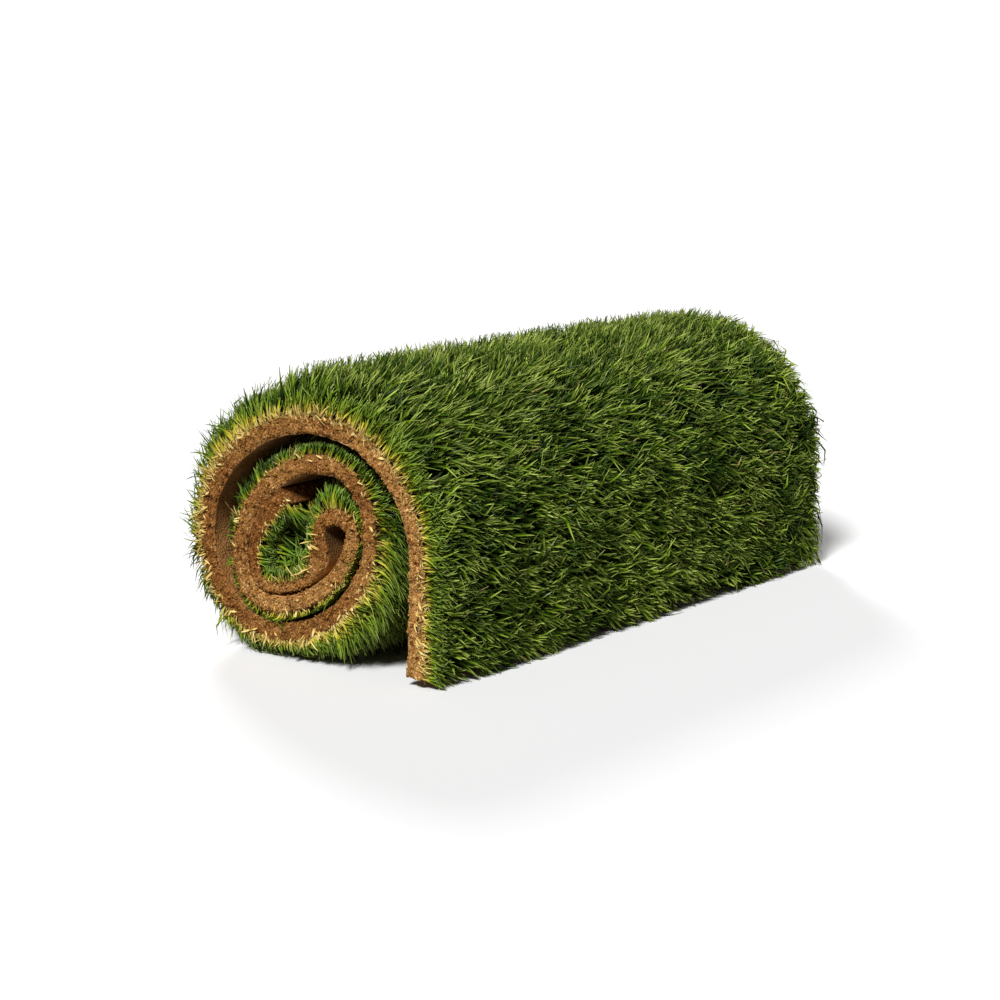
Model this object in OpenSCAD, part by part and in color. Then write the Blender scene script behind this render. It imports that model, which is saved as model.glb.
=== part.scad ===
// Roll of turf: a strip of growing grass on its cut soil, rolled up loosely with the grass outside.
// X runs across the roll with the loose end at +X, Y runs along the roll, Z is up from the floor.
// The strip is followed from the foot of the loose end, over the top and inwards to the innermost fold.
// There it turns down, bends back on itself and lies along the turn around it up to its inner end.
// The depths of the grass are those of the closed sward: single blades stand out of it.

/* [Strip] */
// Width of the cut strip, which is the length of the roll (mm)
strip_width = 610; // [400:1:800]
// Thickness of the cut soil and roots (mm)
soil_thickness = 17; // [12:0.5:20]
// Thickness of the soil at the foot of the loose end, which its weight spreads (mm)
foot_soil = 21; // [17:0.5:25]
// Height above the foot up to which it is spread (mm)
foot_height = 45; // [20:1:60]
// Clearance of the foot above the floor (mm)
foot_lift = 8.5; // [2:0.5:12]
// Thickness of the soil where it bends back below the fold and is pressed (mm)
bend_soil = 10.5; // [8:0.5:14]

/* [Grass] */
// Height the grass stands on top of the roll (mm)
crown_grass = 33; // [25:1:45]
// Depth of the grass on the sides, where it hangs down (mm)
side_grass = 15; // [10:1:30]
// Depth of the grass under the roll, before the floor presses it flat (mm)
under_grass = 26; // [20:1:35]
// Depth of the grass inside the part that is bent back (mm)
curl_grass = 9; // [4:0.5:11]
// Air between the grass of a turn and the soil of the turn around it (mm)
grass_clearance = 3; // [1:0.5:5]

/* [Outer turn] */
// Width of the soil from the loose end to the far side (mm)
roll_width = 258; // [246:1:290]
// Height of the soil (mm)
roll_height = 204; // [196:1:235]
// Lift of the soil off the floor, on the grass squashed under it (mm)
soil_lift = 15.5; // [12:0.5:18]

/* [Space between turns] */
// Behind the loose end (mm)
loose_end_gap = 33; // [20:1:38]
// At the top (mm)
top_gap = 16; // [10:1:19]
// At the far side (mm)
far_gap = 22; // [15:1:27]
// At the bottom, where the roll bears down (mm)
bottom_gap = 7; // [5:0.5:10]
// Beside the innermost fold (mm)
fold_gap = 2; // [1.5:0.5:6]
// Under the part that is bent back (mm)
curl_gap = 1; // [0.5:0.5:3]

/* [Lean] */
// Lean of the outer turn towards the loose end (degrees)
outer_lean = 1; // [0:1:5]
// Lean of the innermost turn towards the loose end (degrees)
inner_lean = 26; // [18:1:30]

/* [Inner end] */
// Turns from the loose end to the fold
fold_turns = 1.97; // [1.94:0.01:2]
// Radius of the hollow in the fold (mm)
eye_radius = 9; // [6:0.5:11]
// Length below the hollow over which the soil spreads until it meets the turn beside it (mm)
eye_foot = 16; // [10:1:24]
// Turns from the loose end to the place where the strip lies back on the turn around it
rest_turns = 1.785; // [1.77:0.005:1.8]
// Radius of the bend below the fold, on the side of the grass (mm)
bend_radius = 16; // [13:0.5:19]
// Turns from the loose end to the place where the inner end stops
stop_turns = 1.32; // [1.28:0.01:1.5]

/* [Output] */
// Sub-part to build

/* [Hidden] */
// Sub-parts of the roll
// Steps in one turn
turn_steps = 60;
// Steps round the innermost fold
fold_steps = 24;
// Steps round the bend below it
bend_steps = 8;
// Steps along the leg between them
leg_steps = 10;
// Spacing of the places the room for the grass is measured to (mm)
probe_step = 4;
// Least depth of grass left where turns are pressed together (mm)
pressed_grass = 1;
// How sharply the grass deepens towards the top and towards the floor
crown_power = 3;
under_power = 2;
// Height of the block that trims the grass at the floor (mm)
trim_height = 2 * (roll_height + crown_grass);

// Sides of the outer face of the soil after a number of turns in
function right_side(n) = roll_width / 2
    - (n > 0 ? soil_thickness + loose_end_gap : 0)
    - (n > 1 ? soil_thickness + fold_gap : 0);
function far_side(n) = n * (soil_thickness + far_gap) - roll_width / 2;
function top_side(n) = soil_lift + roll_height - n * (soil_thickness + top_gap);
function bottom_side(n) = soil_lift + n * (soil_thickness + bottom_gap);

// Outer face of the soil, t turns in: oval half turns, each running from one side to the next
function turn_point(t) =
    let (rise = t + (outer_lean + (inner_lean - outer_lean) * t / fold_turns) / 360)
    let (right = right_side(floor(t + 1 / 2)))
    let (far = far_side(floor(t)))
    let (top = top_side(floor(rise + 1 / 4)))
    let (bottom = bottom_side(floor(rise - 1 / 4)))
    [
        (right + far) / 2 + (right - far) / 2 * cos(360 * t),
        (top + bottom) / 2 + (top - bottom) / 2 * sin(360 * rise)
    ];

// Direction of the strip t turns in, and the side of a direction that the grass is on
function unit(v) = v / norm(v);
function turn_heading(t) = unit(turn_point(t + 0.001) - turn_point(t - 0.001));
function outward(heading) = [heading.y, -heading.x];
function bearing(v) = atan2(v.y, v.x);
function towards(a) = [cos(a), sin(a)];

// Underside of the soil t turns in, less a space
function turn_underside(t, space = 0) =
    turn_point(t) - (soil_thickness + space) * outward(turn_heading(t));

// The innermost fold is a round bend about its hollow, which is called its eye
fold_radius = eye_radius + soil_thickness;
fold_out = outward(turn_heading(fold_turns));
fold_centre = turn_point(fold_turns) - fold_radius * fold_out;
fold_start = bearing(fold_out);

// Below it the strip bends the other way, so that its soil lies against the soil of the turn around it
rest_out = outward(turn_heading(rest_turns));
bend_underside = bend_radius + bend_soil;
bend_centre = turn_underside(rest_turns, curl_gap + bend_underside);
bend_end = bearing(rest_out) + 360;

// The leg between the two is straight: its underside touches the circles of the eye and of the bend
leg_way = bend_centre - fold_centre;
leg_bearing = bearing(leg_way) + asin((eye_radius + bend_underside) / norm(leg_way)) + 360;
leg_length = sqrt(leg_way * leg_way - pow(eye_radius + bend_underside, 2));
fold_end = leg_bearing - 90;
bend_start = leg_bearing + 90;

// Places on the underside of the turn beside the leg and the bend
turn_beside = [for (t = [rest_turns : 1 / (8 * turn_steps) : fold_turns]) turn_underside(t)];

// Thickness of the soil up the loose end, from the leg round the bend, and along the part that is bent back
function loose_end_soil(z) =
    soil_thickness + (foot_soil - soil_thickness) * max(0, 1 - (z - foot_lift) / foot_height);
function spread_soil(place, down) =
    let (spread = min(1, down / eye_foot))
    let (space = min([for (p = turn_beside) norm(p - place)]) - curl_gap)
    soil_thickness + spread * (space - soil_thickness);
function curl_soil(t) =
    bend_soil + (soil_thickness - bend_soil) * (rest_turns - t) / (rest_turns - stop_turns);

// Stations along the strip: outer face of the soil, direction, turns in, and thickness of the soil
loose_end = [
    for (z = [foot_lift, foot_lift + foot_height])
        [[roll_width / 2, z], [0, 1], 0, loose_end_soil(z)]
];
turns = [
    for (i = [0 : round(fold_turns * turn_steps)])
        let (t = fold_turns * i / round(fold_turns * turn_steps))
        [turn_point(t), turn_heading(t), t, soil_thickness]
];
fold = [
    for (i = [1 : fold_steps])
        let (a = fold_start + (fold_end - fold_start) * i / fold_steps)
        [fold_centre + fold_radius * towards(a), towards(a + 90), fold_turns + 1 / 4, soil_thickness]
];
leg_top = fold_centre + fold_radius * towards(fold_end);
leg_foot = bend_centre + bend_radius * towards(bend_start);
leg = [
    for (i = [1 : leg_steps - 1])
        let (share = i / leg_steps)
        let (place = leg_top + share * (leg_foot - leg_top))
        [place, towards(leg_bearing), fold_turns + 1 / 4, spread_soil(place, share * leg_length)]
];
bend = [
    for (i = [0 : bend_steps])
        let (a = bend_start + (bend_end - bend_start) * i / bend_steps)
        let (place = bend_centre + bend_radius * towards(a))
        [place, towards(a - 90), fold_turns + 1 / 2, spread_soil(place, leg_length)]
];
curl = [
    for (i = [1 : round((rest_turns - stop_turns) * turn_steps)])
        let (t = rest_turns - (rest_turns - stop_turns) * i / round((rest_turns - stop_turns) * turn_steps))
        [turn_underside(t, curl_gap + curl_soil(t)), -turn_heading(t), fold_turns + 1 / 2, curl_soil(t)]
];
rolled = concat(loose_end, turns);
bent_back = concat(leg, bend, curl);
strip = concat(rolled, fold, bent_back);

// Places on the underside of the soil, with their turns in, that limit the grass of later turns
probes = concat(
    [for (z = [foot_lift : probe_step : turn_point(0).y]) [[roll_width / 2 - loose_end_soil(z), z], 0]],
    [for (t = [0 : 1 / (2 * turn_steps) : rest_turns]) [turn_underside(t), t]]
);

// Depth of the grass at a station: full height on top, hanging on the sides, less where turns are close
function free_grass(up) = side_grass
    + (crown_grass - side_grass) * pow(max(0, up), crown_power)
    + (under_grass - side_grass) * pow(max(0, -up), under_power);
function faces(a, b) = outward(a[1]) * outward(b[1]) < -1 / 2 && outward(a[1]) * (b[0] - a[0]) > 0;
function room(station) = min(concat(
    [crown_grass + grass_clearance],
    [for (p = probes) if (p[1] < station[2] - 2 / 5) norm(p[0] - station[0])]
));
function space_across(station) = min(concat(
    [2 * crown_grass + grass_clearance],
    [
        for (s = concat(fold, bent_back))
            if (faces(station, s))
                norm(s[0] - station[0])
    ]
));
function rolled_grass(station) = max(
    pressed_grass,
    min(free_grass(outward(station[1]).y), room(station) - grass_clearance)
);
function half_across(station) = max(pressed_grass, (space_across(station) - grass_clearance) / 2);
function tip(station, depth) = station[0] + depth * outward(station[1]);

// Outlines of the two layers, seen on the near end of the roll
function reversed(list) = [for (i = [len(list) - 1 : -1 : 0]) list[i]];
soil_face = [for (s = strip) s[0]];
soil_underside = [for (s = strip) s[0] - s[3] * outward(s[1])];
grass_tips = concat(
    [for (s = rolled) tip(s, rolled_grass(s))],
    [for (s = fold) tip(s, min(rolled_grass(s), half_across(s)))],
    [for (s = bent_back) tip(s, min(curl_grass, half_across(s)))]
);

// A section run along the roll, centred on its length
module along_roll() {
    translate([0, strip_width / 2, 0])
        rotate([90, 0, 0])
            linear_extrude(height = strip_width)
                children();
}

// The cut strip of soil held together by its roots, rolled up
module soil() {
    color("#8a6642")
        along_roll()
            polygon(concat(soil_face, reversed(soil_underside)));
}

// The grass on the outer face of the soil, squashed flat where the roll lies on it
module grass() {
    color("#4c7228")
        along_roll()
            intersection() {
                polygon(concat(grass_tips, reversed(soil_face)));
                translate([-roll_width, 0])
                    square([2 * roll_width, trim_height]);
            }
}

soil();
grass();
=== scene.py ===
import bpy
import numpy as np
from mathutils import Matrix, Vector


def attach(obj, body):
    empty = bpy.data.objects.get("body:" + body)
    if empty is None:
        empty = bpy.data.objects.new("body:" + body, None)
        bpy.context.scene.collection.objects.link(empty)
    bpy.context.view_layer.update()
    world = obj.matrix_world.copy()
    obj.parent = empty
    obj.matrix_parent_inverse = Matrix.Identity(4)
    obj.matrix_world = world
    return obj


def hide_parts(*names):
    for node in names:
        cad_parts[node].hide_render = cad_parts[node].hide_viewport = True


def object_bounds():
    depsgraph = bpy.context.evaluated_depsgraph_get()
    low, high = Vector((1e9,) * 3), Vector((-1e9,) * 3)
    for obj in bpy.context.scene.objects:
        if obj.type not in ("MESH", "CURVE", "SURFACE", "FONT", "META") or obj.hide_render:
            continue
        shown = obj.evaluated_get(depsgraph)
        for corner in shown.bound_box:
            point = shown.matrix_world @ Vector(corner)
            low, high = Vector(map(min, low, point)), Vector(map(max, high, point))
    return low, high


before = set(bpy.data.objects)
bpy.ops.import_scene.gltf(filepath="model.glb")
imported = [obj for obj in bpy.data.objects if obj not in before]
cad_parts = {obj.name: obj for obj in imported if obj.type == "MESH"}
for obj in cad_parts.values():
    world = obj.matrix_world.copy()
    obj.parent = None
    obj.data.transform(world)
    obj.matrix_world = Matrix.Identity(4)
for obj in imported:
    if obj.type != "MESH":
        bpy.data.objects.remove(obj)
cad_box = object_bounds()

# The soil strip: 10 to 21 mm of crumbly loam, cut from the field by a flat blade and bound by its roots.
# It is rolled up with the blade's cut inside, so that its crumb shows on both ends of the roll and the
# smoother cut face shows inside the turns.
MM = 0.001
SAME_POINT = 0.01 * MM


def section_of(node):
    """The outline of a node on the near end of the roll, in order, as [x, z]."""
    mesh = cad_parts[node].data
    places = np.empty(len(mesh.vertices) * 3)
    mesh.vertices.foreach_get("co", places)
    places = places.reshape(-1, 3)
    keys = np.round(places / SAME_POINT).astype(int)
    _, first, same = np.unique(keys, axis=0, return_index=True, return_inverse=True)
    same = same.ravel()
    end = places[:, 1].min() + SAME_POINT
    # An edge that only one face of the end has lies on the outline.
    edges = {}
    for face in mesh.polygons:
        corners = [int(same[v]) for v in face.vertices]
        if all(places[v, 1] < end for v in face.vertices):
            for a, b in zip(corners, corners[1:] + corners[:1]):
                edges[a, b] = True
    after = {a: b for a, b in edges if (b, a) not in edges}
    start = next(iter(after))
    ring = [start]
    while after[ring[-1]] != start:
        ring.append(after[ring[-1]])
    return places[first[ring]][:, [0, 2]]


# The outline starts at the outer corner of the loose end's foot and goes up its grass side first.
outline = section_of("soil")
outline = np.roll(outline, -int(np.argmax(outline[:, 0] - 10 * outline[:, 1])), axis=0)
if outline[1, 1] < outline[0, 1] + SAME_POINT:
    outline = np.roll(outline[::-1], 1, axis=0)
stations = len(outline) // 2
grass_side, cut_side = outline[:stations], outline[stations:][::-1]
thickness = np.linalg.norm(grass_side - cut_side, axis=1)
outward = (grass_side - cut_side) / thickness[:, None]
reach = np.r_[0, np.cumsum(np.linalg.norm(np.diff(grass_side, axis=0), axis=1))]
strip_length = reach[-1]
near, far = cad_box[0][1], cad_box[1][1]

# Turns rolled up at each place on the strip, most at the innermost fold.
turned = np.unwrap(np.arctan2(outward[:, 1], outward[:, 0])) / (2 * np.pi)
turned -= turned[0]
fold = int(np.argmax(turned))

# Just past the fold some of the soil has fallen out of its hollow.
HOLLOW_PAST_FOLD = 9 * MM
HOLLOW_LENGTH, HOLLOW_SHADE = 14 * MM, 22 * MM
FALLEN_SHARE = 0.42
fallen = FALLEN_SHARE * np.exp(-((reach - reach[fold] - HOLLOW_PAST_FOLD) / HOLLOW_LENGTH) ** 2)
thickness = thickness * (1 - fallen)


def run_after(turns):
    """How far along the strip it has turned so often."""
    return float(np.interp(turns, turned[:fold + 1], reach[:fold + 1]))


# Places along the strip and how dry the soil is there: 1 is dry and below 0 is wet. It is driest at the
# loose end and in the bottom of the inner turn. The wet value by the inner end is painted shade, which
# darkens it.
DRYNESS_AND_SHADE = [(run_after(turns), dry) for turns, dry in (
    (0.0, 1.0), (0.25, 0.6), (0.5, -0.1), (0.75, 0.1), (1.0, 0.2), (1.5, 0.35), (1.75, 1.0))]
DRYNESS_AND_SHADE += [(reach[fold] + past * MM, dry) for past, dry in ((-30, 0.4), (0, 0.2), (25, 0.2), (45, 0.5))]
# Painted shade: near the inner end the soil is set wet, so that it shows dark like the shade under the turn
# above.
DRYNESS_AND_SHADE += [(strip_length - short * MM, dry) for short, dry in ((110, 0.5), (50, -0.5))]


def dryness_and_shade_at(run):
    """How dry the soil is at places along the strip, with painted shade by the inner end."""
    places, dryness = zip(*DRYNESS_AND_SHADE)
    return np.interp(run, places, dryness)


def strip_at(run):
    """Grass-side face of the soil, its outward direction and its thickness, a distance along the strip."""
    flat = np.zeros(len(run))
    face = np.c_[np.interp(run, reach, grass_side[:, 0]), flat, np.interp(run, reach, grass_side[:, 1])]
    out = np.c_[np.interp(run, reach, outward[:, 0]), flat, np.interp(run, reach, outward[:, 1])]
    return face, out / np.linalg.norm(out, axis=1)[:, None], np.interp(run, reach, thickness)


def lumps(places, size, seed):
    """Smooth random lumps of a size in metres, from -1 to 1, the same at a place on every run. Large whole
    numbers mix the corners of a grid, so that each has a height of its own."""
    cell = places / size + 1000.0 + 17.0 * seed
    low = np.floor(cell).astype(np.int64)
    part = cell - low
    part = part * part * (3 - 2 * part)
    total = np.zeros(len(places))
    for corner in range(8):
        step = np.array([corner & 1, corner >> 1 & 1, corner >> 2 & 1])
        at = low + step
        mixed = at[:, 0] * 73856093 ^ at[:, 1] * 19349663 ^ at[:, 2] * 83492791 ^ seed * 2654435761
        mixed = (mixed ^ mixed >> 13) * 1274126177
        value = ((mixed ^ mixed >> 16) & 0xFFFF) / 32767.5 - 1
        total += value * np.prod(np.where(step, part, 1 - part), axis=1)
    return total


def end_crumble(places, at_edge):
    """How far the broken ends of the soil stand out (metres), less at the edges of the strip."""
    rough = 1.7 * lumps(places, 11 * MM, 1) + 1.6 * lumps(places, 5 * MM, 2)
    rough += 1.1 * lumps(places, 2.6 * MM, 3)
    return (rough - np.where(at_edge, 1.8, 0.2)) * MM


def made_piece(name, places, faces, material, chart=None, **values):
    """A piece from points and lists of same-sided faces, with a number for each point under each name.
    chart gives each point its place on the flat map of the material's colours."""
    mesh = bpy.data.meshes.new(name)
    mesh.vertices.add(len(places))
    mesh.vertices.foreach_set("co", np.asarray(places, np.float32).ravel())
    corners = np.concatenate([f.ravel() for f in faces]).astype(np.int32)
    sides = np.concatenate([np.full(len(f), f.shape[1]) for f in faces])
    mesh.loops.add(len(corners))
    mesh.loops.foreach_set("vertex_index", corners)
    mesh.polygons.add(len(sides))
    mesh.polygons.foreach_set("loop_start", np.r_[0, np.cumsum(sides)[:-1]].astype(np.int32))
    mesh.polygons.foreach_set("use_smooth", np.ones(len(sides), bool))
    for label, numbers in values.items():
        of_points = mesh.attributes.new(label, "FLOAT", "POINT").data
        of_points.foreach_set("value", np.asarray(numbers, np.float32))
    if chart is not None:
        mesh.uv_layers.new(name="OFBake").data.foreach_set("uv", chart[corners].astype(np.float32).ravel())
    mesh.update(calc_edges=True)
    mesh.materials.append(material)
    piece = bpy.data.objects.new(name, mesh)
    bpy.context.scene.collection.objects.link(piece)
    return piece


def linear(code):
    """An sRGB hex colour as a linear one."""
    parts = [int(code[i:i + 2], 16) / 255 for i in (1, 3, 5)]
    return tuple(c / 12.92 if c <= 0.04045 else ((c + 0.055) / 1.055) ** 2.4 for c in parts) + (1.0,)


def add_node(tree, kind, settings=None, **links):
    """A shader node with its settings, and each named input set to a value or joined to an output."""
    node = tree.nodes.new(kind)
    for label, value in (settings or {}).items():
        if label == "stops":
            ramp = node.color_ramp.elements
            while len(ramp) < len(value):
                ramp.new(0.5)
            for stop, (place, colour) in zip(ramp, value):
                stop.position, stop.color = place, linear(colour)
        else:
            setattr(node, label, value)
    for label, value in links.items():
        socket = node.inputs[int(label[1:])] if label[0] == "_" else node.inputs[label.replace("_", " ")]
        if isinstance(value, bpy.types.NodeSocket):
            tree.links.new(value, socket)
        else:
            socket.default_value = value
    return node


def new_material(name):
    """A new material with its nodes and its shader."""
    material = bpy.data.materials.new(name)
    material.use_nodes = True
    return material, material.node_tree, material.node_tree.nodes["Principled BSDF"]


# Dry loam, broken at the ends and sliced underneath: a matt crumb of grains about 2 mm across with painted
# shade in its clefts, smoother where the cutting blade ran. Under the grass it is dark humus with painted
# shade on it, and in the hollow past the fold it is painted dark with shade.
loam, tree, shader = new_material("dry_loam")
place = add_node(tree, "ShaderNodeTexCoord").outputs["Object"]
cut = add_node(tree, "ShaderNodeAttribute", {"attribute_name": "cut"}).outputs["Fac"]
humus = add_node(tree, "ShaderNodeAttribute", {"attribute_name": "humus"}).outputs["Fac"]
dry = add_node(tree, "ShaderNodeAttribute", {"attribute_name": "dry"}).outputs["Fac"]
grains = add_node(tree, "ShaderNodeTexVoronoi", Vector=place, Scale=1 / (1.8 * MM))
grit = add_node(tree, "ShaderNodeTexNoise", Vector=place, Scale=1 / (1.5 * MM), Detail=2.0, Roughness=0.6)
clefts = add_node(tree, "ShaderNodeTexNoise", Vector=place, Scale=1 / (8 * MM), Detail=4.0, Roughness=0.7)
patches = add_node(tree, "ShaderNodeTexNoise", Vector=place, Scale=1 / (38 * MM), Detail=4.0, Roughness=0.6)
weather_and_shade = add_node(tree, "ShaderNodeMath", {"operation": "MULTIPLY_ADD"}, _0=dry, _1=0.4,
                   _2=patches.outputs["Fac"])
grain_tone = add_node(tree, "ShaderNodeMix", Factor=0.78, _2=grains.outputs["Color"],
                      _3=grit.outputs["Fac"])
damp_colour = add_node(tree, "ShaderNodeValToRGB", {"stops": [
    (0.25, "#482306"), (0.42, "#744318"), (0.54, "#8c592a"), (0.64, "#b27e48"), (0.76, "#e8be80")]},
    Fac=grain_tone.outputs[0])
dry_colour = add_node(tree, "ShaderNodeValToRGB", {"stops": [
    (0.25, "#74460f"), (0.42, "#a8743a"), (0.54, "#c49352"), (0.64, "#e6be80"), (0.76, "#fff0bc")]},
    Fac=grain_tone.outputs[0])
dried = add_node(tree, "ShaderNodeMapRange", Value=weather_and_shade.outputs[0], From_Min=0.4, From_Max=0.95)
weathered = add_node(tree, "ShaderNodeMix", {"data_type": "RGBA"}, Factor=dried.outputs[0],
                     _6=damp_colour.outputs["Color"], _7=dry_colour.outputs["Color"])
# Painted shade: the clefts between the crumbs are darkened in the colour.
cleft_shade = add_node(tree, "ShaderNodeValToRGB", {"stops": [
    (0.33, "#7c5430"), (0.47, "#ffffff")]}, Fac=clefts.outputs["Fac"])
crumb = add_node(tree, "ShaderNodeMix", {"data_type": "RGBA", "blend_type": "MULTIPLY"}, Factor=1.0,
                 _6=weathered.outputs[2], _7=cleft_shade.outputs["Color"])
smear_colour = add_node(tree, "ShaderNodeValToRGB", {"stops": [
    (0.15, "#3a1e08"), (0.4, "#9c6834"), (0.6, "#bd8650"), (0.85, "#d9a96e")]}, Fac=weather_and_shade.outputs[0])
cut_face = add_node(tree, "ShaderNodeMix", {"data_type": "RGBA"}, Factor=0.7,
                    _6=crumb.outputs[2], _7=smear_colour.outputs["Color"])
worn = add_node(tree, "ShaderNodeMix", {"data_type": "RGBA"}, Factor=cut,
                _6=crumb.outputs[2], _7=cut_face.outputs[2])
shaded = add_node(tree, "ShaderNodeMix", {"data_type": "RGBA"}, Factor=humus,
                  _6=worn.outputs[2], _7=linear("#1a1606"))
tree.links.new(shaded.outputs[2], shader.inputs["Base Color"])
round_grains = add_node(tree, "ShaderNodeBump", {"invert": True}, Height=grains.outputs["Distance"],
                        Strength=0.7, Distance=1.2 * MM)
crumbly = add_node(tree, "ShaderNodeBump", Height=grit.outputs["Fac"], Strength=0.6, Distance=1.0 * MM,
                   Normal=round_grains.outputs["Normal"])
tree.links.new(crumbly.outputs["Normal"], shader.inputs["Normal"])
dryness = add_node(tree, "ShaderNodeMapRange", Value=patches.outputs["Fac"], To_Min=0.85, To_Max=1.0)
tree.links.new(dryness.outputs[0], shader.inputs["Roughness"])
shader.inputs["Specular IOR Level"].default_value = 0.15

# The strip is a grid along its length, through its depth and along the roll, finest at the two ends.
STEP_ALONG = 2.0 * MM
runs = np.linspace(0, strip_length, int(strip_length / STEP_ALONG))
depths = np.linspace(0, 1, 9)
end_steps = np.array([0, 1.5, 3.5, 6, 9, 13, 18, 25, 35, 50, 70, 100]) * MM
rows = np.r_[near + end_steps, np.linspace(near + 150 * MM, far - 150 * MM, 6), (far - end_steps)[::-1]]
face, out, thick = strip_at(runs)


def grid_faces(ids):
    """The four-sided faces between the points of a grid."""
    return np.stack([ids[:-1, :-1], ids[1:, :-1], ids[1:, 1:], ids[:-1, 1:]], -1).reshape(-1, 4)


ids = -np.ones((len(runs), len(depths), len(rows)), np.int64)
shell = np.ones(ids.shape, bool)
shell[1:-1, 1:-1, 1:-1] = False
ids[shell] = np.arange(shell.sum())
i, j, k = np.nonzero(shell)
places = face[i] - out[i] * (thick[i] * (1 - depths[j]))[:, None]
places[:, 1] = rows[k]
at_end = np.where(k == 0, -1.0, np.where(k == len(rows) - 1, 1.0, 0.0))
on_cut, on_grass = j == 0, j == len(depths) - 1

# The strip's two faces are lumpy near the ends, where they show, and its edges are frayed.
from_end = np.minimum(places[:, 1] - near, far - places[:, 1])
skin = 1.4 * lumps(places, 45 * MM, 4) * np.exp(-(from_end / (60 * MM)) ** 2)
skin += 1.1 * lumps(places, 14 * MM, 5) * np.exp(-(from_end / (14 * MM)) ** 2)
skin += 0.6 * lumps(places, 5 * MM, 7) * np.exp(-(from_end / (4 * MM)) ** 2)
places[:, 1] += at_end * end_crumble(places, on_cut | on_grass)
side = np.where(on_cut, -1.0, np.where(on_grass, 1.0, 0.0))
frayed = np.where(at_end != 0, 1.2, 0.2)
places += out[i] * (side * (skin - frayed) * MM)[:, None]
faces = [
    grid_faces(ids[:, -1, :])[:, ::-1], grid_faces(ids[:, 0, :]),
    grid_faces(ids[:, :, 0])[:, ::-1], grid_faces(ids[:, :, -1]),
    grid_faces(ids[0, :, :])[:, ::-1], grid_faces(ids[-1, :, :]),
]
# Painted shade: the soil is darkened under the grass, where it is also dark humus, and on the cut face in
# the hollow past the fold.
in_hollow = np.exp(-((runs[i] - reach[fold] - HOLLOW_PAST_FOLD) / HOLLOW_SHADE) ** 2)
darkened = np.where(on_grass, 1.0, np.where(on_cut, 0.75 * in_hollow, 0.0)) * (at_end == 0)
soil_strip = made_piece("soil_strip", places, faces, loam, cut=on_cut & (at_end == 0), humus=darkened,
                        dry=dryness_and_shade_at(runs[i]))
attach(soil_strip, "root")
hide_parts("soil")

# Loose crumbs: grains and small clods of the same loam, 0.6 to 5 mm across, that broke out along both ends
# when the strip was cut to width. They cling to the roots there.
chance = np.random.default_rng(11)
CRUMBS_AN_END = 8500

# Crumbled loam: each clod has its own tone, and is paler on its top and on the side that faces out of the
# end.
clod_loam, tree, shader = new_material("crumbled_loam")
tone = add_node(tree, "ShaderNodeAttribute", {"attribute_name": "tone"}).outputs["Fac"]
dried = add_node(tree, "ShaderNodeAttribute", {"attribute_name": "dried"}).outputs["Fac"]
damp_colour = add_node(tree, "ShaderNodeValToRGB", {"stops": [
    (0.0, "#482406"), (0.4, "#764517"), (0.75, "#9e6a30"), (1.0, "#dcae6a")]}, Fac=tone)
dry_colour = add_node(tree, "ShaderNodeValToRGB", {"stops": [
    (0.0, "#7a4814"), (0.4, "#a67234"), (0.75, "#c69452"), (1.0, "#f8d898")]}, Fac=tone)
clod_colour = add_node(tree, "ShaderNodeMix", {"data_type": "RGBA"}, Factor=dried,
                       _6=damp_colour.outputs["Color"], _7=dry_colour.outputs["Color"])
tree.links.new(clod_colour.outputs[2], shader.inputs["Base Color"])
grit = add_node(tree, "ShaderNodeTexNoise", Scale=1 / (1.0 * MM), Detail=2.0,
                Vector=add_node(tree, "ShaderNodeTexCoord").outputs["Object"])
crumbly = add_node(tree, "ShaderNodeBump", Height=grit.outputs["Fac"], Strength=0.7, Distance=0.8 * MM)
tree.links.new(crumbly.outputs["Normal"], shader.inputs["Normal"])
dryness = add_node(tree, "ShaderNodeMapRange", Value=dried, To_Min=0.8, To_Max=1.0)
tree.links.new(dryness.outputs[0], shader.inputs["Roughness"])
shader.inputs["Specular IOR Level"].default_value = 0.15

clod_points = np.array([[1, 0, 0], [0, 1, 0], [-1, 0, 0], [0, -1, 0], [0, 0, 1], [0, 0, -1]], float)
clod_sides = np.array([[n, (n + 1) % 4, tip] if tip == 4 else [(n + 1) % 4, n, tip]
                       for tip in (4, 5) for n in range(4)])

clods, tones, pale_sides = [], [], []
for end_y, way in ((near, -1.0), (far, 1.0)):
    run = chance.uniform(0, strip_length, CRUMBS_AN_END)
    depth = chance.uniform(0.02, 0.98, CRUMBS_AN_END)
    face, out, thick = strip_at(run)
    centre = face - out * (thick * depth)[:, None]
    centre[:, 1] = end_y
    size = np.clip(np.exp(chance.normal(np.log(0.62), 0.5, len(run))), 0.3, 2.4) * MM
    centre[:, 1] += way * (end_crumble(centre, (depth < 0.08) | (depth > 0.92)) + 0.15 * size)
    turn = np.linalg.qr(chance.normal(0, 1, (len(run), 3, 3)))[0]
    shape = clod_points[None] * chance.uniform(0.55, 1.35, (len(run), len(clod_points), 1))
    shape = np.einsum("nij,nkj->nki", turn, shape)
    clods.append((centre[:, None] + shape * size[:, None, None]).reshape(-1, 3))
    pale_sides.append(np.clip(0.45 + 0.4 * way * shape[:, :, 1] + 0.3 * shape[:, :, 2], 0, 1).ravel())
    tone = 0.34 + 0.3 * dryness_and_shade_at(run) + chance.normal(0, 0.15, len(run)) + 0.15 * lumps(centre, 40 * MM, 8)
    tones.append(np.clip(tone, 0, 1))
tones, pale_sides = np.repeat(np.concatenate(tones), len(clod_points)), np.concatenate(pale_sides)
spread = np.tile(0.008 * clod_points[:, 0], 2 * CRUMBS_AN_END)
clod_faces = (np.arange(2 * CRUMBS_AN_END)[:, None, None] * len(clod_points) + clod_sides).reshape(-1, 3)
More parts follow.
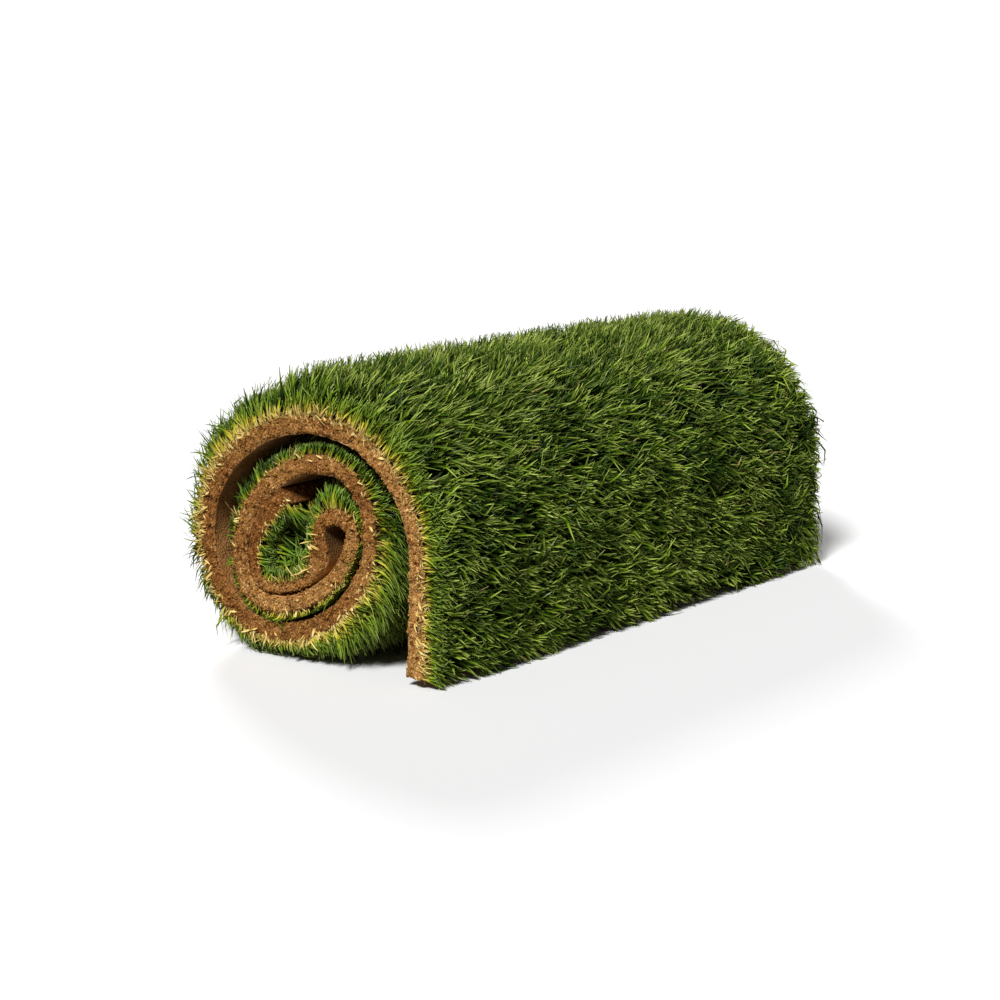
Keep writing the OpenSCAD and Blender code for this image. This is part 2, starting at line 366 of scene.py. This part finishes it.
soil_crumbs = made_piece("soil_crumbs", np.concatenate(clods), [clod_faces], clod_loam,
                         chart=np.c_[0.02 + 0.96 * tones + spread, pale_sides], tone=tones, dried=pale_sides)
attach(soil_crumbs, "root")

# The grass: lawn blades 12 to 52 mm long and 1.6 to 3 mm wide, growing in tufts all over the outer face of
# the soil. The rolling brushed them along the roll, and where turns or the floor are close they lie flat.
BLADE_STEPS = 3
BLADE_TAPER = [0.75, 1.0, 0.8, 0.22]
SHORTEST, LONGEST = 12 * MM, 52 * MM
IN_SOIL = 1.5 * MM
CLEAR_OF_TURN, CLEAR_OF_FLOOR = 1.5 * MM, 0.4 * MM
OVERHANG = 10 * MM
FAR_EDGE = 40 * MM
LOOSE_SHARE, DEAD_SHARE = 0.12, 0.006
PALEST_LIVING, DEAD_ABOVE = 0.95, 0.96
ALONG_ROLL = np.array([0.0, 1.0, 0.0])
MOST_ROOM = 70 * MM


def distance_ahead(outline, past):
    """How far straight out from each station an outline is first met, past a start."""
    step = np.roll(outline, -1, axis=0) - outline
    found = np.full(stations, MOST_ROOM)
    for n, (place, way) in enumerate(zip(grass_side, outward)):
        across = outline - place
        slant = way[0] * step[:, 1] - way[1] * step[:, 0]
        slant = np.where(np.abs(slant) < 1e-9, 1e-9, slant)
        distance = (across[:, 0] * step[:, 1] - across[:, 1] * step[:, 0]) / slant
        share = (across[:, 0] * way[1] - across[:, 1] * way[0]) / slant
        hits = distance[(distance > past) & (share >= 0) & (share <= 1)]
        found[n] = min([MOST_ROOM, *hits])
    return found


# The room ahead of each station ends at the next turn of the soil or at the floor. The sward is mown: its
# depth on the roll is the depth of the grass in the frame.
to_floor = np.where(outward[:, 1] < -0.05, grass_side[:, 1] / -np.minimum(outward[:, 1], -0.05), MOST_ROOM)
room_ahead = np.minimum(distance_ahead(outline, 1.5 * MM), to_floor)
room_ahead = np.minimum(room_ahead, np.minimum(np.roll(room_ahead, 1), np.roll(room_ahead, -1)))
sward_depth = distance_ahead(section_of("grass"), 0.3 * MM)


def grass_material(name, dark_stops, light_stops):
    """Living lawn grass: satin blades with a crease along the middle. Dark and light blades differ, and a
    few are dead and straw-coloured."""
    leaf, tree, shader = new_material(name)
    along = add_node(tree, "ShaderNodeAttribute", {"attribute_name": "along"}).outputs["Fac"]
    across = add_node(tree, "ShaderNodeAttribute", {"attribute_name": "across"}).outputs["Fac"]
    tone = add_node(tree, "ShaderNodeAttribute", {"attribute_name": "tone"}).outputs["Fac"]
    dark = add_node(tree, "ShaderNodeValToRGB", {"stops": dark_stops}, Fac=along)
    light = add_node(tree, "ShaderNodeValToRGB", {"stops": light_stops}, Fac=along)
    living = add_node(tree, "ShaderNodeMix", {"data_type": "RGBA"}, Factor=tone,
                      _6=dark.outputs["Color"], _7=light.outputs["Color"])
    dead = add_node(tree, "ShaderNodeMath", {"operation": "GREATER_THAN"}, _0=tone, _1=DEAD_ABOVE)
    colour = add_node(tree, "ShaderNodeMix", {"data_type": "RGBA"}, Factor=dead.outputs[0],
                      _6=living.outputs[2], _7=linear("#a3985a"))
    tree.links.new(colour.outputs[2], shader.inputs["Base Color"])
    crease = add_node(tree, "ShaderNodeMath", {"operation": "ABSOLUTE"}, _0=across)
    folded = add_node(tree, "ShaderNodeBump", Height=crease.outputs[0], Strength=0.9, Distance=1.0 * MM)
    tree.links.new(folded.outputs["Normal"], shader.inputs["Normal"])
    waxy = add_node(tree, "ShaderNodeMapRange", Value=along, To_Min=0.6, To_Max=0.4)
    tree.links.new(waxy.outputs[0], shader.inputs["Roughness"])
    shader.inputs["IOR"].default_value = 1.42
    shader.inputs["Specular IOR Level"].default_value = 0.25
    return leaf


# In the open sward the bases are nearly black with shade, and the pale tips catch the light.
lawn_grass = grass_material(
    "lawn_grass",
    [(0.0, "#020801"), (0.4, "#071502"), (0.7, "#1a3604"), (1.0, "#52721f")],
    [(0.0, "#071002"), (0.4, "#264406"), (0.7, "#80a41c"), (1.0, "#deec78")])
# At the cut edges the bases show. They grew without light and are the yellow of straw.
rim_grass = grass_material(
    "straw_based_grass",
    [(0.0, "#d8b848"), (0.3, "#b8a624"), (0.5, "#48640c"), (0.75, "#2f4c08"), (1.0, "#4e701c")],
    [(0.0, "#fde894"), (0.3, "#f2e054"), (0.5, "#aabc34"), (0.75, "#90b434"), (1.0, "#c0d66c")])
# Between the turns the blades are painted darker, as in the shade there, on yellowish bases.
shaded_grass = grass_material(
    "shaded_lawn_grass",
    [(0.0, "#94861e"), (0.28, "#3a4407"), (0.6, "#152804"), (1.0, "#2c480c")],
    [(0.0, "#f0dc6c"), (0.28, "#b4b42c"), (0.6, "#74a024"), (1.0, "#b0cc62")])


def strands(name, material, root, out, start, end, width, tone, room, length=None, height=None):
    """Blades or fibres of a length, or as long as reaches a height, each leaving its root one way and
    bending to another. Where there is no room ahead they lie along what is in the way."""
    count = len(root)
    start = start / np.linalg.norm(start, axis=1)[:, None]
    end = end / np.linalg.norm(end, axis=1)[:, None]
    roll = chance.normal(0, 1.0, count)
    twist = chance.normal(0, 0.6, count)
    share = np.linspace(0, 1, BLADE_STEPS + 1)
    ways = [start * (1 - t) + end * t for t in share]
    ways = [way / (np.linalg.norm(way, axis=1)[:, None] + 1e-9) for way in ways]
    if length is None:
        gain = np.mean([np.sum(way * out, axis=1) for way in ways[:-1]], axis=0)
        length = np.clip(height / np.maximum(gain, 0.1), SHORTEST, LONGEST)
    centre = root.copy()
    edges = []
    for n, way in enumerate(ways):
        across = np.cross(way, out)
        across /= np.linalg.norm(across, axis=1)[:, None] + 1e-9
        angle = roll + twist * share[n]
        across = across * np.cos(angle)[:, None] + np.cross(across, way) * np.sin(angle)[:, None]
        over = np.maximum(np.sum((centre - root) * out, axis=1) - room, 0)
        held = centre - out * over[:, None]
        # What overhangs an end too far turns down over it.
        past = np.maximum(np.abs(held[:, 1]) - far - OVERHANG, 0)
        held[:, 1] -= 0.8 * past * np.sign(held[:, 1])
        held[:, 2] -= 0.6 * past
        spread = across * (width * BLADE_TAPER[n] / 2)[:, None]
        edges += [held - spread, held + spread]
        centre = centre + way * (length / BLADE_STEPS)[:, None]
    points = np.stack(edges, 1)
    each = points.shape[1]
    places = points.reshape(-1, 3)
    places[:, 2] = np.maximum(places[:, 2], CLEAR_OF_FLOOR)
    first = np.arange(count)[:, None] * each
    quads = np.concatenate([first + np.array([2 * n, 2 * n + 1, 2 * n + 3, 2 * n + 2])
                            for n in range(BLADE_STEPS)])
    along = np.tile(np.repeat(share, 2), count)
    across = np.tile([-1.0, 1.0], count * (BLADE_STEPS + 1))
    tones = np.repeat(np.clip(tone, 0, 1), each)
    return made_piece(name, places, [quads], material,
                      chart=np.c_[0.02 + 0.96 * tones + 0.006 * across, along],
                      along=along, across=across, tone=tones)


def tufts(count, low, high, from_y, to_y, spacing):
    """Blades growing in tufts over a stretch of the strip: where along it, where along the roll, and the
    number of each blade's tuft. Each cell of a grid has a tuft, and a few blades grow loose between them."""
    rows, in_row = int(np.ceil((high - low) / spacing)), int(np.ceil((to_y - from_y) / spacing))
    cells = rows * in_row
    tuft = chance.integers(0, cells, count)
    tuft_run = low + (np.arange(cells) // in_row + chance.uniform(0, 1, cells)) * spacing
    tuft_y = from_y + (np.arange(cells) % in_row + chance.uniform(0, 1, cells)) * spacing
    run = tuft_run[tuft] + chance.normal(0, 0.22 * spacing, count)
    y = tuft_y[tuft] + chance.normal(0, 0.25 * spacing, count)
    loose = chance.uniform(0, 1, count) < LOOSE_SHARE
    run = np.where(loose, chance.uniform(low, high, count), run)
    y = np.where(loose, chance.uniform(from_y, to_y, count), y)
    inside = (run > low) & (run < high) & (y > from_y) & (y < to_y)
    return run[inside], y[inside], tuft[inside]


def unlike(tuft, spread, own):
    """A random number for each blade that is mostly its tuft's, and partly its own."""
    return chance.normal(0, spread, tuft.max() + 1)[tuft] + chance.normal(0, own, len(tuft))


def by_turns(run, *stops):
    """A value along the strip, from the turns rolled up at some places and the value there."""
    turns, values = zip(*stops)
    return np.interp(run, [run_after(t) for t in turns], values)


def grass_piece(name, material, run, y, tuft, height, width, upright, light, droop=0.32, brushed=1.0):
    """Blades mown to a height and brushed along the roll. They rise from the soil, bend over and hang.
    upright, from 0 to 1, keeps them standing straight out, light is their middle tone, partly painted light
    and shade, droop is how far they hang and brushed is how far they lean along the roll. Under it they lie
    towards the loose end."""
    root, out, _ = strip_at(run)
    root[:, 1] = y
    top = np.clip(out[:, 2], 0, 1)
    tail = np.exp(-(far - y) / FAR_EDGE)
    down_strip = np.cross(ALONG_ROLL, out)
    dragged = by_turns(run, (0.5, 0), (0.66, 1), (0.85, 1), (0.95, 0))
    upright = upright * (1 - 0.7 * dragged)
    swing = 0.3 * lumps(root, 60 * MM, 6) + unlike(tuft, 0.3, 0.36) - 1.1 * dragged
    comb = ALONG_ROLL * (np.cos(swing) * (1 - 0.7 * tail))[:, None] + down_strip * np.sin(swing)[:, None]
    # A blade rises at one angle to the soil and bends over to a lower one. Both are steeper on top.
    rise = np.radians(56 + 12 * top) + unlike(tuft, 0.25, 0.2)
    bend = np.radians(20 + 18 * top) + unlike(tuft, 0.25, 0.2)
    rise = rise + upright * (np.radians(84) - rise)
    bend = bend + upright * (np.radians(60) - bend)
    comb = comb * brushed
    start = comb * np.cos(rise)[:, None] + out * np.sin(rise)[:, None]
    end = comb * np.cos(bend)[:, None] + out * np.sin(bend)[:, None]
    end[:, 2] -= (droop * (1 - top) + 0.35 * tail) * (1 - 0.5 * upright)
    stray = chance.normal(0, 0.15, (len(run), 3))
    start, end = start + stray, end + 1.8 * stray
    room = np.interp(run, reach, room_ahead) - CLEAR_OF_TURN
    tone = light + 0.14 * lumps(root, 75 * MM, 12) + unlike(tuft, 0.26, 0.27)
    dead = chance.uniform(0, 1, len(run)) < DEAD_SHARE
    tone = np.where(dead, 1.0, np.clip(tone, 0, PALEST_LIVING))
    piece = strands(name, material, root - out * IN_SOIL, out, start, end, width, tone, room, height=height)
    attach(piece, "root")
    return piece


def mown(run, tuft):
    """Height of the blades at places on the strip, the tallest standing out of the closed sward."""
    return np.interp(run, reach, sward_depth) * np.clip(1.1 + unlike(tuft, 0.14, 0.13), 0.6, 1.36)


def blade_widths(count):
    """Widths of blades, each its own."""
    return chance.uniform(1.6, 3.0, count) * MM


# The lawn goes round the outside of the roll in four stretches, each with its number of blades. It is
# paler by the near end and on the back; on the back and, by the near end, underneath, the paleness is
# painted light where the lamps leave it in shade.
TUFT_SPACING = 17 * MM
stretches = {
    "grass_loose_end": (0.0, run_after(0.15), 18500),
    "grass_crown": (run_after(0.15), run_after(0.37), 22000),
    "grass_far_side": (run_after(0.37), run_after(0.66), 19000),
    "grass_underneath": (run_after(0.66), run_after(1.0), 10000),
}
for name, (low, high, count) in stretches.items():
    run, y, tuft = tufts(count, low, high, near + 4 * MM, far - 2 * MM, TUFT_SPACING)
    upright = 0.5 * np.exp(-(y - near) / (22 * MM))
    height = mown(run, tuft) * (1 - 0.3 * np.exp(-(far - y) / FAR_EDGE))
    # Painted light: the tone is raised underneath by the near end and on the back, which the lamps leave in
    # shade.
    light = by_turns(run, (0.08, 0.48), (0.2, 0.55), (0.4, 0.55), (0.5, 0.4), (0.62, 0.9))
    plain = by_turns(run, (0.06, 0.42), (0.2, 0.28), (0.37, 0.28), (0.5, 0.55))
    fade = np.where(run > run_after(0.45), 200, 90) * MM
    light = plain + (light - plain) * np.exp(-(y - near) / fade)
    grass_piece(name, lawn_grass, run, y, tuft, height, blade_widths(len(run)), upright, light)
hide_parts("grass")

# The grass of the inner turns: the same blades, pressed down by the turn around them. They are planted as
# deep as the eye reaches into the gaps from both ends, and stand taller in the core, where there is room.
IN_SIGHT = 95 * MM
core_start = reach[fold] - 80 * MM
deep = [tufts(9000, run_after(1.0), strip_length, near + 6 * MM, near + IN_SIGHT, 12 * MM),
        tufts(5000, run_after(1.0), strip_length, far - IN_SIGHT, far - 3 * MM, 12 * MM)]
run, y = (np.concatenate([part[n] for part in deep]) for n in (0, 1))
tuft = np.concatenate([deep[0][2], deep[1][2] + deep[0][2].max() + 1])
in_core = run > core_start
shaded = np.minimum(0.95 * np.interp(run, reach, room_ahead), 30 * MM) * chance.uniform(0.4, 1.1, len(run))
# Painted light and shade in the tone: darkest in the gap just inside the outer turn, as in the shade there,
# and pale in the core, to lift the shade of the turns around it.
grass_piece("grass_inner_turns", shaded_grass, run, y, tuft, shaded, 0.8 * blade_widths(len(run)), 0.3,
            light=np.where(in_core, 0.9, np.where(run < run_after(1.2), 0.0, 0.3)))

# The hanging grass: where the roll curves up from the floor towards the loose end, longer blades hang free
# on their yellow bases. Their tone is painted light and shade: palest low down, for the light thrown up
# from the floor, and dark behind the loose end, for the shade there.
run, y, tuft = tufts(5000, run_after(0.76), run_after(1.05), near - 1 * MM, near + 90 * MM, 11 * MM)
hanging = np.minimum(0.9 * np.interp(run, reach, room_ahead), 34 * MM) * chance.uniform(0.6, 1.05, len(run))
pale = by_turns(run, (0.8, 0.95), (0.92, 0.8), (1.0, 0.15))
grass_piece("grass_hanging", rim_grass, run, y, tuft, hanging, 0.75 * blade_widths(len(run)), 0.3,
            light=pale, droop=1.9, brushed=0.35)

# The rims: blades at the two cut edges stand out and show their straw-yellow bases. They are thinner on the
# inner turns and painted darker there with shade, and where the turns press together they are squeezed out
# over the end.
squeezed = run_after(1.6), run_after(1.96)
for end_name, low_y, high_y, way in (("near", near - 1 * MM, near + 10 * MM, -1.0),
                                     ("far", far - 10 * MM, far + 1 * MM, 1.0)):
    run, y, tuft = tufts(12000, 0, strip_length, low_y, high_y, 6 * MM)
    outer = run < run_after(0.95)
    height = np.clip(np.interp(run, reach, sward_depth), 10 * MM, 24 * MM)
    height *= chance.uniform(0.5, 1.15, len(run))
    height *= by_turns(run, (0.3, 1.0), (0.4, 1.7), (0.55, 1.7), (0.62, 0.65))
    # Painted light: the outer rims are paler on top and palest underneath, lifting the shade that falls on
    # them there.
    pale = by_turns(run, (0.25, 0.84), (0.35, 0.58), (0.52, 0.58), (0.62, 0.95))
    width = 0.68 * blade_widths(len(run))
    upright = chance.uniform(0.1, 0.9, len(run))
    grass_piece("grass_%s_rim" % end_name, rim_grass, run[outer], y[outer], tuft[outer], height[outer],
                width[outer], upright[outer], light=pale[outer])
    in_core = run > core_start
    height = np.where(in_core, 1.4, 1.0) * height
    inner = ~outer & (chance.uniform(0, 1, len(run)) < np.where(in_core, 1.0, 0.5))
    # The inner rims take the grass painted with shade, lifted in the core.
    grass_piece("grass_%s_inner_rim" % end_name, shaded_grass, run[inner], y[inner], tuft[inner],
                height[inner], width[inner], upright[inner], light=np.where(in_core[inner], 0.8, 0.6))
    run, y, tuft = tufts(420, *squeezed, low_y, high_y, 7 * MM)
    grass_piece("grass_%s_squeezed" % end_name, rim_grass, run, y, tuft,
                chance.uniform(6, 13, len(run)) * MM, 0.6 * blade_widths(len(run)), 0.3, light=0.55,
                droop=0.1, brushed=way)

# Straw and roots: dead leaf bases and pale roots, 3 to 20 mm long, that bind the crumb. They stick out of
# both broken ends in patches, mostly just under the grass. The broader ones lie on the soil.
FIBRES_AN_END = 2800

# Dry straw: pale, slightly glossy fibres, browner where they come out of the soil.
straw, tree, shader = new_material("dry_straw")
along = add_node(tree, "ShaderNodeAttribute", {"attribute_name": "along"}).outputs["Fac"]
tone = add_node(tree, "ShaderNodeAttribute", {"attribute_name": "tone"}).outputs["Fac"]
brown = add_node(tree, "ShaderNodeValToRGB", {"stops": [
    (0.0, "#744a14"), (0.3, "#aa802a"), (1.0, "#d0ae4c")]}, Fac=along)
pale = add_node(tree, "ShaderNodeValToRGB", {"stops": [
    (0.0, "#c89c44"), (0.3, "#f0d076"), (1.0, "#fdeaa4")]}, Fac=along)
straw_colour = add_node(tree, "ShaderNodeMix", {"data_type": "RGBA"}, Factor=tone,
                        _6=brown.outputs["Color"], _7=pale.outputs["Color"])
tree.links.new(straw_colour.outputs[2], shader.inputs["Base Color"])
dull = add_node(tree, "ShaderNodeMapRange", Value=along, To_Min=0.8, To_Max=0.55)
tree.links.new(dull.outputs[0], shader.inputs["Roughness"])
across = add_node(tree, "ShaderNodeAttribute", {"attribute_name": "across"}).outputs["Fac"]
ridge = add_node(tree, "ShaderNodeMath", {"operation": "ABSOLUTE"}, _0=across)
husk = add_node(tree, "ShaderNodeBump", Height=ridge.outputs[0], Strength=0.5, Distance=0.4 * MM)
tree.links.new(husk.outputs["Normal"], shader.inputs["Normal"])
shader.inputs["Specular IOR Level"].default_value = 0.25

for name, end_y, way in (("straw_near_end", near, -1.0), ("straw_far_end", far, 1.0)):
    run = chance.uniform(4 * MM, strip_length, FIBRES_AN_END)
    patchy = lumps(strip_at(run)[0] + [0, end_y, 0], 30 * MM, 9)
    run = run[0.6 * patchy - 0.8 * (run > run_after(0.95)) > chance.uniform(-1.0, 0.5, len(run))]
    lying = chance.uniform(0, 1, len(run)) < np.where(run < run_after(0.15), 0.65, 0.4)
    depth = np.where(lying, chance.uniform(0.1, 0.5, len(run)), np.abs(chance.normal(0, 0.14, len(run))))
    face, out, thick = strip_at(run)
    root = face - out * (thick * depth)[:, None]
    root[:, 1] = end_y
    root[:, 1] += way * (end_crumble(root, False) - 0.3 * MM)
    aside = np.cross(ALONG_ROLL, out) * chance.normal(0, 0.55, len(run))[:, None]
    outwards = chance.uniform(0.4, 1.0, len(run))[:, None]
    start = out * outwards + aside + ALONG_ROLL * way * chance.uniform(0.1, 0.7, len(run))[:, None]
    end = out * outwards + aside * 1.5 - ALONG_ROLL * way * chance.uniform(-0.3, 0.4, len(run))[:, None]
    lengths = np.clip(chance.normal(np.where(lying, 7, 9.5), np.where(lying, 2, 4)), 3, 20) * MM
    widths = np.clip(np.exp(chance.normal(np.log(0.85), 0.35, len(run))), 0.45, 1.7) * MM
    widths *= np.where(lying, 1.8, 1.0)
    tone = np.clip(chance.normal(np.where(lying, 0.9, 0.6), 0.25), 0, 1)
    room = np.interp(run, reach, room_ahead) + thick * depth - 1 * MM
    fibres = strands(name, straw, root, out, start, end, widths, tone, room, length=lengths)
    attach(fibres, "root")

# The studio: a white paper floor, a backdrop as bright as the lit floor, a broad lamp in front, a weaker
# one behind that gives no glints, and the camera.
AMBIENT = 0.06
LAMP_SPREAD = np.radians(14)
lamps = {"key": (3.7, np.array([0.22, -0.69, 0.69])), "fill": (1.6, np.array([-0.68, 0.56, 0.47]))}
floor_mesh = bpy.data.meshes.new("floor")
floor_mesh.from_pydata([(-8, -8, 0), (8, -8, 0), (8, 8, 0), (-8, 8, 0)], [], [(0, 1, 2, 3)])
floor = bpy.data.objects.new("floor", floor_mesh)
bpy.context.scene.collection.objects.link(floor)

# White paper: matt, and white to the camera. It throws less light back at the roll, whose underside is dark.
paper, tree, shader = new_material("white_paper")
shader.inputs["Roughness"].default_value = 0.9
shader.inputs["Specular IOR Level"].default_value = 0.0
rays = add_node(tree, "ShaderNodeLightPath")
paper_colour = add_node(tree, "ShaderNodeMix", {"data_type": "RGBA"}, Factor=rays.outputs["Is Camera Ray"],
                        _6=linear("#9c9c9c"), _7=linear("#ffffff"))
tree.links.new(paper_colour.outputs[2], shader.inputs["Base Color"])
floor_mesh.materials.append(paper)

# Nothing on the roll is metal or glass, so the white of the backdrop is there for the camera alone.
world = bpy.data.worlds.new("studio")
world.use_nodes = True
bpy.context.scene.world = world
sky = world.node_tree.nodes["Background"]
rays = add_node(world.node_tree, "ShaderNodeLightPath")
floor_level = AMBIENT + sum(power * way[2] for power, way in lamps.values()) / np.pi
strength = add_node(world.node_tree, "ShaderNodeMapRange", Value=rays.outputs["Is Camera Ray"],
                    To_Min=AMBIENT, To_Max=floor_level)
world.node_tree.links.new(strength.outputs[0], sky.inputs["Strength"])
sky.inputs["Color"].default_value = (1, 1, 1, 1)


def facing(right, up, back, at=(0, 0, 0)):
    """The placement of a lamp or camera from its own three directions."""
    return Matrix([[*axes, e] for axes, e in zip(np.c_[right, up, back], at)] + [[0, 0, 0, 1]])


for name, (power, way) in lamps.items():
    lamp = bpy.data.lights.new(name, "SUN")
    lamp.energy = power
    lamp.angle = LAMP_SPREAD
    level = np.cross([0, 0, 1.0], way)
    level /= np.linalg.norm(level)
    stand = bpy.data.objects.new(name, lamp)
    stand.matrix_world = facing(level, np.cross(way, level), way)
    stand.visible_glossy = name == "key"
    bpy.context.scene.collection.objects.link(stand)

# The camera stands where the photograph's did. Its focal length is in picture widths.
EYE = (1.34885, -1.7655, 0.53308)
FOCAL_LENGTH = 2376.2 / 1000
azimuth, elevation = np.radians(37.98), np.radians(11.07)
right = np.array([np.cos(azimuth), np.sin(azimuth), 0])
ahead = np.array([-np.sin(azimuth), np.cos(azimuth), 0])
up = np.array([0, 0, 1.0])
lens = bpy.data.cameras.new("camera")
lens.sensor_width = 36
lens.lens = lens.sensor_width * FOCAL_LENGTH
camera = bpy.data.objects.new("camera", lens)
camera.matrix_world = facing(right, np.sin(elevation) * ahead + np.cos(elevation) * up,
                             np.sin(elevation) * up - np.cos(elevation) * ahead, EYE)
bpy.context.scene.collection.objects.link(camera)
bpy.context.scene.camera = camera

bpy.context.scene.view_settings.view_transform = "Standard"
